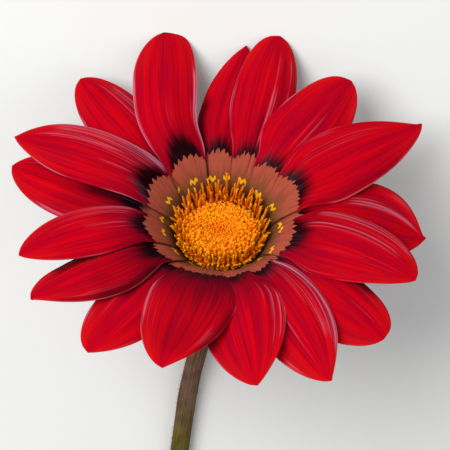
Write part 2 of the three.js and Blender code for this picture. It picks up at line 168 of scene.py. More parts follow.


# Anticlockwise from the front left, with the same columns as the solids: headings and slopes in degrees,
# lengths in millimetres, widest and fullness for the outline, and tier for the height of the layer. The
# swing starts at bend. foot lengthens the basal spot and mark is where its yellow mark lies. lop makes the
# tip's clockwise side fuller, dark is how far the dark zone reaches past the spot, and shade is how deep
# the red is near it, partly the petal's own deeper red and partly painted shade.
PETALS = [
    petal("front", 91.5, -14.4, 4, 0, 35.6, 11.8, 0.52, 3, 0, 0, 40, 0.88, 7.4, 0.7, 5.2, 0, 0, 1.6, 0.4,
        (80, 10, 14, 34, 12), (92, 10, 1, 25, -80), (30, 50, 18, 40, -38)),
    petal("front_left", 119, -27.4, 11, 0, 40.1, 12.9, 0.7, 6, 12, 0, 50, 0.44, 9.2, 0, 5.1, 2, 0.5, 3.8,
        0.55, (1.5, 4, 7, 34, 80), (10, 5, 14, 28, 30), (24, 10, 12, 27, -35), (98, 3, 12, 33, 50),
        (45, 8, 15, 24, 20)),
    petal("left_1", 137, -9.5, 4, 0, 38.3, 12.8, 0.62, 3, 8, 0, 40, 0.58, 7, 0, 5.9, 0, 0.05, 2.6, 0.7,
        (16, 16, 12, 36, 50), (98, 3, 18, 34, 60), (85, 16, 6, 18, -90)),
    petal("left_2", 154.5, -6, 4, 23.5, 38.9, 13.2, 0.62, 7, 14, 0, 60, 0.88, 9.8, 0.3, 5.5, 2.2, -0.1, 3,
        0.78, (3, 5, 7, 36, 90), (15, 9, 9, 35, 60), (33, 9, 9, 36, 50), (56, 5, 12, 33, 40),
        (60, 50, 4, 26, -25)),
    petal("left_3", 175, -17, 4, 2, 37.8, 15, 0.6, 3, 8, 0, 45, 0.65, 7, 0.8, 5.9, 0, -0.05, 3.4, 0.8,
        (97, 4, 18, 33, 60), (27, 2, 29, 37, 40), (5, 30, 3, 33, -100), (38, 18, 8, 25, -80),
        (70, 35, 6, 30, -35)),
    petal("left_4", 194, -7, 4, 23, 35.6, 11.8, 0.58, 9, 20, 3, 60, 0.74, 7.4, 0.6, 5.8, 2.4, 0, 2.2, 0.7,
        (4, 5, 9, 33, 60), (20, 12, 10, 30, 45), (50, 10, 10, 26, 30)),
    petal("back_left_1", 215, -8, 4, 0, 36.5, 13, 0.55, 5, 12, 8, 55, 0.8, 7, 0.3, 4.6, 1.2, 0.3, 3, 0.85,
        (85, 3, 12, 31, 40), (95, 7, 10, 36, -60), (30, 5, 12, 30, 35), (6, 20, 2, 33, -100),
        (70, 35, 6, 28, -42)),
    petal("back_left_2", 232.5, -1.5, 4, 0, 35, 13.6, 0.6, 3, 10, 0, 40, 0.7, 7, 0, 2.6, 0, 0.25, 1.5, 0.9,
        (5, 5, 25, 33, 45), (25, 6, 16, 30, 20), (97, 4, 26, 33, 30), (15, 30, 1, 25, -100)),
    petal("back_1", 256.5, -4.5, 4, 0, 33.9, 17.4, 0.5, 9, 14, 5, 45, 0.8, 11, 0.3, 2.6, 2.3, 0.2, 1.1, 1,
        (3, 4, 12, 27, 60), (90, 5, 21, 31, 40), (97, 6, 16, 32, -40), (14, 5, 16, 28, 20),
        (50, 60, 2, 34, -42)),
    petal("back_2", 277.5, 3.5, 4, 0, 35.3, 16.8, 0.5, 6, 14, 10, 55, 0.78, 8.4, 0.3, 2.6, 1.4, 0.15, 1.4,
        0.8, (86, 8, 12, 30, 35), (97, 4, 14, 30, 45), (5, 5, 24, 34, 45), (8, 12, 5, 28, -60)),
    petal("back_right_1", 299.5, -2, 4, 0, 38.2, 15, 0.56, 5, 14, 9, 55, 0.85, 8, 0.3, 2.6, 0.9, 0.2, 1.6,
        0.8, (95, 7, 6, 36, 65), (80, 11, 8, 33, 40), (42, 3, 15, 37, 35), (36, 4, 14, 30, -50),
        (5, 5, 28, 37, 45), (8, 16, 4, 22, -80)),
    petal("back_right_2", 313.5, 7.5, 4, -4, 36.8, 15.6, 0.6, 4, 12, 0, 45, 0.5, 7, 0, 4.2, 0, -0.15, 1.4,
        0.6, (62, 6, 12, 36, 25), (42, 4, 10, 24, 30), (88, 6, 20, 35, 30), (96, 12, 2, 32, -80)),
    petal("right_1", 337.5, 11.5, 4, -27, 35.9, 16, 0.48, 8, 24, 0, 70, 0.66, 10.6, 0.4, 6, 2, -0.15, 2.4,
        0.45, (90, 7, 12, 35, 80), (68, 7, 9, 34, 60), (77, 4, 10, 30, -30), (35, 3, 14, 34, 35)),
    petal("right_2", 358, 12, 4, -42, 35.5, 18.4, 0.64, 3, 12, 0, 40, 1, 7, 0.8, 5.8, 0, 0.45, 1.2, 0.6,
        (66, 5, 18, 36, 70), (90, 7, 24, 34, 40), (94, 8, 1, 22, -80), (40, 60, 16, 42, -42)),
    petal("right_3", 19.5, 11, 4, -2, 39.3, 15, 0.47, 6, 16, 8, 50, 1, 10, 0.9, 4.5, 2.8, 0.25, 1.8, 0.1,
        (96, 4, 9, 26, 35), (74, 5, 11, 34, 30), (60, 5, 11, 30, -20), (40, 2, 12, 36, 25),
        (4, 8, 8, 35, -50)),
    petal("right_4", 45.7, 5, 4, 0, 34.5, 15, 0.53, 6, 10, 5, 50, 0.52, 8.6, -0.2, 3.9, 2.3, -0.2, 1.4,
        0.05, (3, 4, 22, 34, 40), (42, 5, 14, 26, 30), (8, 18, 8, 20, -70)),
    petal("front_right", 67.5, 9.5, 4, 1.5, 38.5, 13.4, 0.6, 5, 9, 10, 80, 0.52, 7.2, 0.2, 4.9, 1.6, -0.15,
        1.2, 0.2, (36, 4, 7, 27, 60), (36, 3, 20, 37, 40), (17, 4, 20, 36, 50), (3, 4, 14, 36, 50),
        (98, 3, 12, 28, 50), (26, 6, 12, 36, -30), (43, 3, 4, 22, -70)),
]


def linear(code):
    """The linear red, green and blue of a colour code such as "c83c28"."""
    values = (int(code[i : i + 2], 16) / 255 for i in (0, 2, 4))
    return tuple(v / 12.92 if v <= 0.04045 else ((v + 0.055) / 1.055) ** 2.4 for v in values)


def colour(what, code):
    text = {"name": what.capitalize(), "description": f"Colour of the {what}"}
    return FloatVectorProperty(subtype="COLOR", size=3, min=0, max=1, default=linear(code), **text)


def amount(label, note, default, unit="NONE"):
    return FloatProperty(name=label, description=note, unit=unit, min=0, default=default, precision=5)


def length(label, note, millimetres):
    return amount(label, note, millimetres * MM, "LENGTH")


def number(what, low, high, default):
    text = {"name": what.capitalize(), "description": f"Number of {what}"}
    return IntProperty(min=low, max=high, default=default, **text)


# ---- Materials ----
class Signal(namedtuple("Signal", "finish socket")):
    """A shader value that Python expressions can work with."""

    def __add__(self, other):
        return self.finish.math("ADD", self, other)

    def __sub__(self, other):
        return self.finish.math("SUBTRACT", self, other)

    def __rsub__(self, other):
        return self.finish.math("SUBTRACT", other, self)

    def __mul__(self, other):
        return self.finish.math("MULTIPLY", self, other)

    __radd__ = __add__
    __rmul__ = __mul__


class Finish:
    """A material made of nodes, with one Principled shader."""

    def __init__(self, name):
        self.material = bpy.data.materials.new(name)
        self.material.use_nodes = True
        self.tree = self.material.node_tree
        self.tree.nodes.clear()

    def node(self, kind, inputs, output=0, **settings):
        made = self.tree.nodes.new(f"ShaderNode{kind}")
        for key, value in settings.items():
            setattr(made, key, value)
        for key, value in inputs.items():
            socket = made.inputs[key]
            if isinstance(value, Signal):
                self.tree.links.new(value.socket, socket)
            else:
                socket.default_value = value if isinstance(value, (int, float)) else (*value, 1)
        return Signal(self, made.outputs[output])

    def math(self, operation, *values):
        return self.node("Math", dict(enumerate(values)), operation=operation)

    def marks(self, names):
        """Numbers that the mesh holds at each of its points, one for each name."""
        return [self.node("Attribute", {}, "Fac", attribute_name=name) for name in names.split()]

    def ease(self, value, low, high):
        """0 up to low, 1 from high and smooth between them."""
        inputs = {"Value": value, "From Min": low, "From Max": high}
        return self.node("MapRange", inputs, interpolation_type="SMOOTHSTEP")

    def fade(self, value, low, high):
        """1 up to low, 0 from high and smooth between them."""
        return 1 - self.ease(value, low, high)

    def noise(self, place, scale, detail, roughness=0.5):
        inputs = {"Vector": place, "Scale": scale, "Detail": detail, "Roughness": roughness}
        return self.node("TexNoise", inputs)

    def streaks(self, x, y, z, detail=2, roughness=0.5):
        """Noise, drawn out where its three numbers change slowly."""
        return self.noise(self.node("CombineXYZ", {"X": x, "Y": y, "Z": z}), 1, detail, roughness)

    def grain(self, scale, detail=3):
        """Noise over the object's own space."""
        return self.noise(self.node("TexCoord", {}, "Object"), scale, detail)

    def layers(self, tone, *coats):
        """A colour with others laid over it, each given with its share."""
        for coat, part in coats:
            # Sockets 0, 6 and 7 are the share and the two colours, and output 2 is the mixed one
            tone = self.node("Mix", {0: part, 6: tone, 7: coat}, 2, data_type="RGBA")
        return tone

    def bump(self, height, distance, strength=1):
        return self.node("Bump", {"Height": height, "Distance": distance, "Strength": strength})

    def surface(self, tone, roughness, specular=0.5, **inputs):
        """Ends the material with its shader."""
        inputs |= {"Base Color": tone, "Roughness": roughness, "Specular IOR Level": specular}
        shader = self.node("BsdfPrincipled", inputs)
        output = self.tree.nodes.new("ShaderNodeOutputMaterial")
        self.tree.links.new(shader.socket, output.inputs["Surface"])
        return self.material


# ---- Meshes ----
def fresh_start():
    if bpy.context.mode != "OBJECT":
        bpy.ops.object.mode_set(mode="OBJECT")
    bpy.ops.object.select_all(action="DESELECT")


def picked(*pieces):
    """Selects pieces in object mode and makes the first one active."""
    fresh_start()
    for piece in pieces:
        piece.select_set(True)
    bpy.context.view_layer.objects.active = pieces[0]


def named(ob, name):
    ob.name = name
    ob.data.name = name
    return ob


def primitive(kind, name, **settings):
    """One of Blender's own simple meshes."""
    fresh_start()
    getattr(bpy.ops.mesh, f"primitive_{kind}_add")(**settings)
    return named(bpy.context.active_object, name)


def linked(name, data):
    """A new object in the scene."""
    ob = bpy.data.objects.new(name, data)
    bpy.context.scene.collection.objects.link(ob)
    return ob


def points_of(ob):
    co = np.empty(len(ob.data.vertices) * 3)
    ob.data.vertices.foreach_get("co", co)
    return co.reshape(-1, 3)


def set_points(ob, points):
    ob.data.vertices.foreach_set("co", np.asarray(points, np.float32).ravel())
    ob.data.update()


def set_marks(ob, **marks):
    """Stores numbers at the mesh's points."""
    for name, values in marks.items():
        layer = ob.data.attributes.get(name) or ob.data.attributes.new(name, "FLOAT", "POINT")
        values = np.broadcast_to(np.asarray(values, np.float32), len(ob.data.vertices))
        layer.data.foreach_set("value", np.ascontiguousarray(values))


def scaled(ob, *factors):
    set_points(ob, points_of(ob) * factors)


def thickened(ob, thickness, **settings):
    """Gives a sheet its thickness, half of it to either side."""
    modifier = ob.modifiers.new("solidify", "SOLIDIFY")
    for key, value in {"thickness": thickness, "offset": 0, **settings}.items():
        setattr(modifier, key, value)
    picked(ob)
    bpy.ops.object.modifier_apply(modifier=modifier.name)


def smoothed(ob, degrees=40):
    picked(ob)
    bpy.ops.object.shade_smooth_by_angle(angle=radians(degrees))
    fresh_start()
    return ob


def placed(ob, degrees=40, place=BLOOM):
    """A finished shape, taken to the part's frame and smoothed."""
    ob.data.transform(place)
    return smoothed(ob, degrees)


def closed_outwards(ob):
    """Merges doubles and turns every face outwards."""
    picked(ob)
    bpy.ops.object.mode_set(mode="EDIT")
    bpy.ops.mesh.select_all(action="SELECT")
    bpy.ops.mesh.remove_doubles(threshold=1e-6)
    bpy.ops.mesh.normals_make_consistent(inside=False)
    fresh_start()


def grown(name, sides, rings):
    """A closed rod that is extruded ring by ring, through (radius, height) pairs."""
    radius, height = rings[0]
    start = {"vertices": sides, "radius": radius, "location": (0, 0, height)}
    ob = primitive("circle", name, fill_type="NGON", **start)
    bpy.ops.object.transform_apply()
    bpy.ops.object.mode_set(mode="EDIT")
    bpy.ops.mesh.select_all(action="SELECT")
    for (before, low), (after, high) in zip(rings, rings[1:]):
        bpy.ops.mesh.extrude_region_move(TRANSFORM_OT_translate={"value": (0, 0, high - low)})
        size = after / before
        bpy.ops.transform.resize(value=(size, size, 1), center_override=(0, 0, high))
    closed_outwards(ob)
    return ob


def planted(name, model, copies, marks=""):
    """One mesh of many copies of a model. Each copy is its place, followed by its value for each mark."""
    points = points_of(model)
    faces = [tuple(face.vertices) for face in model.data.polygons]
    moved = [points @ np.array(place)[:3, :3].T + np.array(place)[:3, 3] for place, *_ in copies]
    corners = [tuple(v + k * len(points) for v in face) for k in range(len(copies)) for face in faces]
    mesh = bpy.data.meshes.new(name)
    mesh.from_pydata(np.concatenate(moved), [], corners)
    ob = linked(name, mesh)
    for layer in model.data.attributes:
        if layer.domain == "POINT" and layer.data_type == "FLOAT":
            values = np.empty(len(points), np.float32)
            layer.data.foreach_get("value", values)
            set_marks(ob, **{layer.name: np.tile(values, len(copies))})
    for k, mark in enumerate(marks.split()):
        set_marks(ob, **{mark: np.repeat([copy[k + 1] for copy in copies], len(points))})
    bpy.data.objects.remove(model)
    return ob


def joined(name, *pieces):
    picked(*pieces)
    bpy.ops.object.join()
    fresh_start()
    return named(pieces[0], name)


def kept(ob, material, node):
    """Hands a finished piece over: its material, what it rides on and what it stands for."""
    ob.data.materials.clear()
    ob.data.materials.append(material)
    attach(ob, "root")
    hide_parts(node)
    return ob


def standing(foot, direction):
    """The place of a copy with its Z axis from its foot in a direction."""
    turn = Vector((0, 0, 1)).rotation_difference(Vector(direction))
    return Matrix.Translation(foot) @ turn.to_matrix().to_4x4()


def turned(degrees, axis):
    return Matrix.Rotation(radians(degrees), 4, axis)


def polar(radius, angle, z):
    return Vector((radius * cos(angle), radius * sin(angle), z))


def round_axis(points):
    """The angle of each point round Z, and its distance from Z."""
    return np.arctan2(points[:, 1], points[:, 0]), np.hypot(points[:, 0], points[:, 1])


def read_off(at, steps, line):
    """Places at distances along a line, whose own points lie at the steps."""
    return np.stack([np.interp(at, steps, line[:, k]) for k in range(3)], -1)


def share(x, start, reach):
    return np.clip((x - start) / reach, 0, 1)


def ease(x, start, reach):
    x = share(x, start, reach)
    return x * x * (3 - 2 * x)


# ---- Petals ----
def petal_width(p, q, s):
    widest = p.widest * p.length
    fullness = p.fullness * np.where(q < 0.5, 1 - p.lop, 1 + p.lop)
    claw = CLAW_WIDTH + (p.spot - CLAW_WIDTH) * share(s, 0, SPOT_LENGTH)
    swell = np.sin(pi / 2 * share(s, SPOT_LENGTH, widest - SPOT_LENGTH))
    blade = p.spot + (p.width - p.spot) * swell
    taper = p.width * (1 - share(s, widest, p.length - widest) ** TIP_TAPER) ** fullness
    rounded = np.sqrt(1 - share(s, p.length - TIP_ROUND, TIP_ROUND) ** 2).clip(0.15)
    taper = np.maximum(taper, TIP_WIDTH) * rounded
    return np.where(s < SPOT_LENGTH, claw, np.where(s < widest, blade, taper))


def petal_frame(p, s):
    """The directions along, across and up from the petal at each distance from its root."""
    fall = p.droop * share(s, DROOP_START, p.length - DROOP_START)
    slope = np.radians(p.lift + (CUP_RISE - p.lift) * (1 - ease(s, *CUP_BEND)) - fall)
    turn = p.swing * ease(s, p.bend, SWING_REACH) + p.curl * share(s, CURL_START, p.length - CURL_START)
    heading = np.radians(p.azimuth + turn)
    along = np.stack([np.cos(slope) * np.cos(heading), np.cos(slope) * np.sin(heading), np.sin(slope)], -1)
    across = np.stack([-np.sin(heading), np.cos(heading), 0 * heading], -1)
    up = np.cross(along, across)
    roll = np.radians(p.roll) * ease(s, *ROLL_BEND)[:, None]
    return along, across * np.cos(roll) + up * np.sin(roll), up * np.cos(roll) - across * np.sin(roll)


def fold_height(p, q, s):
    """The sums of a petal's folds, with their painted sheen, and of its hollow places, with their painted
    shade, at shares q across it and distances s from its root.
    """
    total = np.zeros((2, len(s)))
    for fold in p.folds:
        ridge = np.exp(-(((q - fold.place) / fold.spread) ** 2))
        along = ease(s, fold.start, FOLD_RISE) * (1 - ease(s, fold.end - FOLD_FALL, FOLD_FALL))
        total[int(fold.pale < 0)] += abs(fold.pale) * ridge * along
    return total


def petal_piece(p, seed, looks):
    """One petal: a grid laid along the midrib, arched, pleated and given its thickness."""
    ob = primitive("grid", p.name, x_subdivisions=PETAL_ROWS, y_subdivisions=PETAL_COLUMNS, size=1)
    flat = points_of(ob)
    q = flat[:, 1] + 0.5
    s = ROOT_START + (p.length - ROOT_START) * (1 - (0.5 - flat[:, 0]).clip(0) ** ROW_CROWDING)

    steps = np.linspace(ROOT_START, p.length, MIDRIB_STEPS)
    along = petal_frame(p, steps)[0]
    walk = np.cumsum((along[1:] + along[:-1]) / 2, 0) * (steps[1] - steps[0])
    midrib = np.vstack([[0, 0, 0], walk]) + np.array(polar(ROOT_RADIUS, radians(p.azimuth), 0))
    _, across, up = petal_frame(p, s)

    width = petal_width(p, q, s)
    side = (q - 0.5) * width
    radius = p.width / (np.radians(p.arch) * ease(s, *ARCH_BEND) + FLATTEST_ARCH)
    angle = (side / radius)[:, None]
    normal = up * np.cos(angle) + across * np.sin(angle)
    blade = ease(s, SPOT_LENGTH - 1, PLEAT_RISE)
    tip = 1 - ease(s, p.length - PLEAT_FALL, PLEAT_FALL)
    wander = 0.35 * np.sin(s * 0.19 + seed * 40)
    pleat = np.cos(2 * pi * ((q - 0.5) * PLEATS + seed + 0.3 * wander))
    # Folds raise ridges that the finish paints with sheen; hollows sink the surface and the finish paints
    # shade in them
    sheen_ridges, shaded_hollows = fold_height(p, q, s)
    shaded_hollows = shaded_hollows.clip(0, 1)
    height = looks.pleat_height / MM * pleat * blade * tip
    height += looks.fold_height / MM * (sheen_ridges - shaded_hollows)
    height -= MARGIN_ROLL * np.abs(2 * q - 1) ** 6 * blade
    points = read_off(s, steps, midrib) - up * radius[:, None] + normal * (radius + height)[:, None]
    points[:, 2] += sum(p.tier * part * ease(s, start, reach) for part, start, reach in TIER_STEPS)
    set_points(ob, points)

    twin = TWIN_MARKS.get(p.name)
    set_marks(
        ob, across=q, reach=s, side=side, off_mark=np.abs(side) - twin if twin else side,
        past_mark=s - p.mark, foot=p.foot, travel=s / p.length, rim=(0.5 - np.abs(q - 0.5)) * width,
        pale=sheen_ridges, hollow=shaded_hollows, groove=0.5 - 0.5 * pleat * blade * tip, seed=seed, dark=p.dark,
        shade=p.shade,
    )

    thin = ob.vertex_groups.new(name="thickness")
    for column in range(PETAL_COLUMNS + 1):
        place = column / PETAL_COLUMNS
        weight = 1 - (1 - THIN_MARGIN) * abs(2 * place - 1) ** 4
        inside = np.nonzero(np.abs(q - place) < 0.5 / PETAL_COLUMNS)[0]
        thin.add(inside.tolist(), weight, "REPLACE")
    ob.data.transform(BLOOM)
    count = len(ob.data.vertices)
    thickened(ob, looks.thickness, vertex_group="thickness", use_quality_normals=True)
    shell = points_of(ob)
    shell[:, 2] = shell[:, 2].clip(FLOOR_GAP)
    set_points(ob, shell)
    set_marks(ob, under=np.arange(len(shell)) >= count)  # the modifier adds the lower side
    return smoothed(ob, 50)


def petal_finish(looks):
    f = Finish("petal")
    q, s, side, travel, rim, seed = f.marks("across reach side travel rim seed")
    # pale is the folds' painted sheen, hollow the painted shade in the hollows and groove the painted shade
    # in the pleats
    pale, hollow, groove, foot, under = f.marks("pale hollow groove foot under")
    dark_length, red_and_shade_depth, off_mark, past_mark = f.marks("dark shade off_mark past_mark")
    from_middle = f.math("ABSOLUTE", q * 2 - 1)

    # Lines along the blade: fine and broad ones, stripes and a slow change of tone
    fine = f.streaks(q * 60, s * 0.09, seed * 50, 3)
    broad = f.streaks(q * 12, s * 0.045, seed * 90)
    hairline = f.streaks(q * 52, s * 0.06, seed * 20)
    slow = f.streaks(side * 0.12, s * 0.08, seed * 70, 1)
    patch = f.streaks(side * 0.42, s * 0.07, seed * 40, 1)
    lines = f.ease(fine * 0.3 + broad * 0.35 + hairline * 0.35, 0.36, 0.58)
    stripe = f.math("PINGPONG", q * 14 + broad * 1.4 + seed * 5, 0.5)
    # glow is orange-red at the tips and margins: partly the petal's own tint, partly a painted glow of light
    # shining through the thin tips
    glow = f.ease(travel + slow * 0.4, 0.85, 1.2) * f.ease(from_middle + fine * 0.4, 0.4, 1.1)
    blade = f.layers(
        looks.deep_red,
        (looks.red, lines * 0.6 + 0.4),
        (looks.deep_red, f.fade(patch, 0.38, 0.58) * 0.22),
        (looks.deep_red, f.fade(stripe + (fine - 0.5) * 0.7, 0, 0.24) * 0.42),
        # Painted shade in the pleats' grooves
        (looks.deep_red, groove * f.ease(slow, 0.35, 0.65) * 0.4),
        # Deeper red near the dark zone: partly the blade's own colour, partly painted shade, as deep as the
        # petal's shade column
        (looks.dark_red, f.fade(s + slow * 9 + (fine - 0.5) * 6, 13.5, 26) * red_and_shade_depth),
        (looks.orange_red, glow * 0.3),
    )

    # Pale veins, shown mostly within the painted sheen on the folds, and a painted highlight along the
    # margins
    vein_place = f.math("PINGPONG", q * 13 + broad * 0.8 + seed * 13, 0.5)
    vein_noise = f.streaks(q * 6, s * 0.05, seed * 30, 1)
    vein_shown = f.ease(vein_noise + pale * 0.45, 0.52, 0.7) * f.ease(s, 11, 16)
    vein = f.fade(vein_place + (hairline - 0.5) * 0.12, 0.02, 0.15) * vein_shown
    # hair and bloom are the painted sheen: thin pale lines and a soft band over the folds, strongest near
    # the margins
    hair = f.ease(hairline, 0.5, 0.62) * f.ease(pale + (broad - 0.5) * 0.5, 0.25, 0.75)
    bloom = f.ease(pale + (fine - 0.5) * 0.5 + (hairline - 0.5) * 1.3, 0.25, 1.05)
    # margin is a painted highlight along the petal's edges
    margin = f.fade(rim + fine * 0.4, 0.26, 0.5) * f.ease(s, 9, 15) * (1 - f.ease(travel, 0.8, 0.97) * 0.75)
    blade = f.layers(
        blade,
        (looks.pale, bloom * (0.05 + f.fade(rim, 0.4, 1.5) * 0.42) + hair * 0.36),
        (looks.vein, vein * (0.015 + pale * 0.9)),
        # Painted shade in the hollows, in the dark zone's colour
        (looks.dark_zone_and_shade, f.ease(hollow + (fine - 0.5) * 0.3, 0.1, 1) * 0.85),
        (looks.pale, margin * (1 - hollow) * f.ease(slow + (hairline - 0.5) * 0.4, 0.38, 0.64) * 0.5),
    )

    # The dark zone and the basal spot, with its toothed edge and its yellow mark
    ragged = f.streaks(q * 22, seed * 60, s * 0.05)
    crown = 1 - from_middle * from_middle
    tooth = f.math("PINGPONG", q * 7.2 + ragged * 0.9 + seed * 7, 0.5)
    beyond = s - (crown * 2.3 + tooth * 1.3 + ragged * 1.9 + foot + (SPOT_LENGTH - 4.5))
    dark_reach = crown * 1.6 * dark_length + (fine - 0.5) * 3.6 - 0.6 * dark_length
    # Painted reflection: greyish streaks of sky light on the shiny dark zone
    painted_reflection = f.ease(fine + (slow - 0.5) * 0.8, 0.5, 0.75) * 0.5
    dark = f.layers(looks.dark_zone_and_shade, (looks.dark_zone_reflection, painted_reflection))
    spot_lines = f.streaks(q * 20, s * 0.22, seed * 80, 3, 0.6)
    spot = f.layers(
        looks.spot_shade,
        (looks.spot, f.ease(spot_lines, 0.3, 0.62) * 0.75 + 0.25),
        (looks.spot_inner, f.fade(s + from_middle * 1.6 + (spot_lines - 0.5) * 3, 4.6, 8.6) * 0.85),
        (looks.root_and_shade_brown, f.fade(s + (spot_lines - 0.5) * 2, 1.5, 4.5)),
        # Painted shade on the spot: under the hollows, and a dark line along its margins where the petals
        # overlap
        (looks.root_and_shade_brown, f.ease(hollow, 0.25, 0.85) * 0.9),
        (looks.root_and_shade_brown, f.fade(rim, 0.06, 0.3) * 0.6),
    )
    zigzag = f.math("PINGPONG", off_mark + seed * 3 + 0.2, 0.5)
    off_line = f.math("ABSOLUTE", past_mark - zigzag * 1.35 + 0.33 + (spot_lines - 0.5) * 0.6)
    marked = f.fade(off_line, 0.32, 0.44) * f.fade(f.math("ABSOLUTE", off_mark), 0.74, 0.88)

    # The underside: duller, with a broad bronze band down its middle
    band = f.fade(from_middle + (broad - 0.5) * 0.6, 0.3, 0.62)
    back = f.layers(
        looks.back,
        (looks.back_band, band * f.fade(travel, 0.6, 0.95)),
        (looks.vein, f.ease(fine, 0.55, 0.75) * 0.25),
        (looks.back_root, f.fade(s + fine * 2, 5, 13)),
    )
    body = f.layers(
        blade,
        (dark, f.ease(dark_reach - beyond, -2.6, 0.9) * 0.97),
        (spot, f.ease(beyond * -1, -0.07, 0.07)),
        (looks.yellow_mark, marked),
        (back, under),
    )
    bump = f.bump(fine * 0.4 + hairline * 0.3 + broad * 0.3, 0.00014, 0.5)
    return f.surface(body, 0.48 + fine * 0.18, 0.015, Normal=bump)


def root_ring():
    """The ring of short tubes in which the petals stand, with the collar behind their feet."""
    wall = [(8.5, -0.7), (8.9, -0.3), (9.6, 0.5), (10.5, 1.65)]
    wall += [(10.4, 1.75), (9.4, 0.6), (8.3, 0.3), (5.6, 0.4)]
    ring = grown("ray_roots", 4 * len(PETALS), wall)
    tube = grown("ray_tube", 10, [(0.9, -0.6), (1.0, 0.0), (0.85, 0.7), (0.5, 1.0)])
    tubes = []
    for p in PETALS:
        foot = Matrix.Translation(polar(ROOT_RADIUS - 0.3, radians(p.azimuth), 0))
        tubes.append([foot @ turned(p.azimuth, "Z") @ turned(90 - CUP_RISE, "Y")])
    return placed(joined("ray_roots", ring, planted("ray_tubes", tube, tubes)))


def root_finish(looks):
    f = Finish("petal root")
    inner = f.ease(f.grain(900), 0.3, 0.7) * 0.5
    return f.surface(f.layers(looks.root_and_shade_brown, (looks.spot_inner, inner)), 0.7, 0.02)


# ---- Disc ----
def dome_height(r):
    crown = cos(pi / 2 * min(r / DOME["radius"], 1) ** DOME["fullness"])
    return DOME["shoulder"] + (DOME["top"] - DOME["shoulder"]) * crown


def bud_place(r, angle):
    """The place of a closed floret on the dome."""
    plan = Vector((r * cos(angle), r * sin(angle) * BUD_FLATTENING - BUD_SHIFT, 0))
    return plan + Vector((0, 0, dome_height(plan.length)))


def disc_dome():
    rings = [(DOME["radius"] - 0.6, DOME["bottom"])]
    for k in range(DOME_RINGS, 0, -1):
        r = DOME["radius"] * k / DOME_RINGS
        rings.append((r, dome_height(r) - 0.25))
    return placed(grown("disc_dome", 48, rings))


def disc_buds(looks):
    """Closed florets, packed in a spiral over the dome."""
    outline = [(0.3, 0), (0.37, 0.8), (0.4, 1.3), (0.34, 1.66), (0.2, 1.85), (0.07, BUD_LENGTH)]
    bud = grown("disc_bud", 10, outline)
    points = points_of(bud)
    lobed = 1 + 0.13 * np.cos(5 * round_axis(points)[0]) * share(points[:, 2], 0.5, 0.8)
    points[:, :2] *= lobed[:, None]
    set_points(bud, points)
    set_marks(bud, rise=points[:, 2] / BUD_LENGTH)
    draw = random.Random(11)
    buds = []
    for k in range(looks.buds):
        r = BUD_REACH * sqrt((k + 0.5) / looks.buds) + draw.uniform(-0.09, 0.09)
        angle = radians(k * GOLDEN_ANGLE) + draw.uniform(-0.09, 0.09) / max(r, 0.5)
        lean = (17 + 11 * sin(angle)) * (r / BUD_REACH) ** 2
        outward = radians(90 - lean + draw.uniform(-8, 8))
        direction = polar(cos(outward), angle + draw.uniform(-0.1, 0.1), sin(outward))
        opened = min(1, max(0, (r - 2.6) / 1.6)) * draw.random()
        size = (0.6 + 0.28 * min(1, r / 4)) * draw.uniform(0.85, 1.2)
        foot = bud_place(r, angle) + direction * (0.6 - 1.2 * size + opened * (1.0 - 0.4 * sin(angle)))
        turn = Matrix.Rotation(draw.uniform(0, 6), 4, "Z")
        place = standing(foot, direction) @ turn @ Matrix.Scale(size, 4)
        buds.append((place, draw.random(), 1 - min(1, r / 3.4), 0))
    return placed(planted("disc_buds", bud, buds, "seed middle dusted"), 55)


def open_floret():
    """A corolla with five teeth, the anther tube that stands out of it and the two arms of the style."""
    corolla = grown("corolla", 10, [(0.24, 0), (0.27, 1), (0.34, 1.9), (0.46, 2.5), (0.3, 2.42)])
    points = points_of(corolla)
    angle, out = round_axis(points)
    points[:, 2] += 0.35 * (np.cos(5 * angle) * share(points[:, 2], 1.9, 0.5)) * (out > 0.35)
    set_points(corolla, points)
    outline = [(0.22, 2), (0.28, 2.8), (0.31, 4.4), (0.32, 5.1), (0.27, 5.6), (0.2, 5.75)]
    anthers = grown("anthers", 8, outline)
    scaled(anthers, 0.8, 1, 1)
    arms = []
    for k in range(2):
        arm = grown("style_arm", 5, [(0.13, 0), (0.13, 0.35), (0.06, 0.65)])
        turn = Matrix.Rotation(pi * k, 4, "Z") @ Matrix.Rotation(0.55, 4, "Y")
        arm.data.transform(Matrix.Translation((0, 0, 5.5)) @ turn)
        arms.append(arm)
    ob = joined("open_floret", corolla, anthers, *arms)
    points = points_of(ob)
    set_marks(ob, rise=points[:, 2] / ROD_TOP)
    points[:, 1] += 0.5 * (points[:, 2] / ROD_LENGTH) ** 2 - 0.12
    set_points(ob, points)
    return ob


def open_florets(name, row, seed):
    model = open_floret()
    draw = random.Random(seed)
    florets = []
    for k in range(row.number):
        angle = radians(k * 360 / row.number + row.turn + draw.uniform(-3, 3))
        angle -= ROD_CROWDING * cos(angle)
        front = sin(angle)
        lean = row.lean + ROD_SPREAD * (1 - front) / 2 + 3 * sin(5 * k) + draw.uniform(-7, 7)
        lean = radians(min(lean, 91))
        direction = polar(cos(lean), angle + draw.uniform(-0.28, 0.28), sin(lean))
        foot = polar(row.root + ROD_BULGE * (1 - front) / 2, angle, row.base) - direction * ROD_SINK
        reach = row.length * (1 + ROD_GROWTH * front) * draw.uniform(0.7, 1.16) + ROD_SINK
        thick = draw.uniform(0.68, 0.9)
        turn = Matrix.Rotation(draw.uniform(0, 6), 4, "Z")
        size = Matrix.Diagonal((thick, thick, reach / ROD_LENGTH, 1))
        place = standing(foot, direction) @ turn @ size
        # The last number is painted light, which makes the florets at the back of the disc lighter
        florets.append((place, draw.random(), 0, (1 - front) / 2 * draw.uniform(0.3, 1)))
    return placed(planted(name, model, florets, "seed middle dusted"), 50)


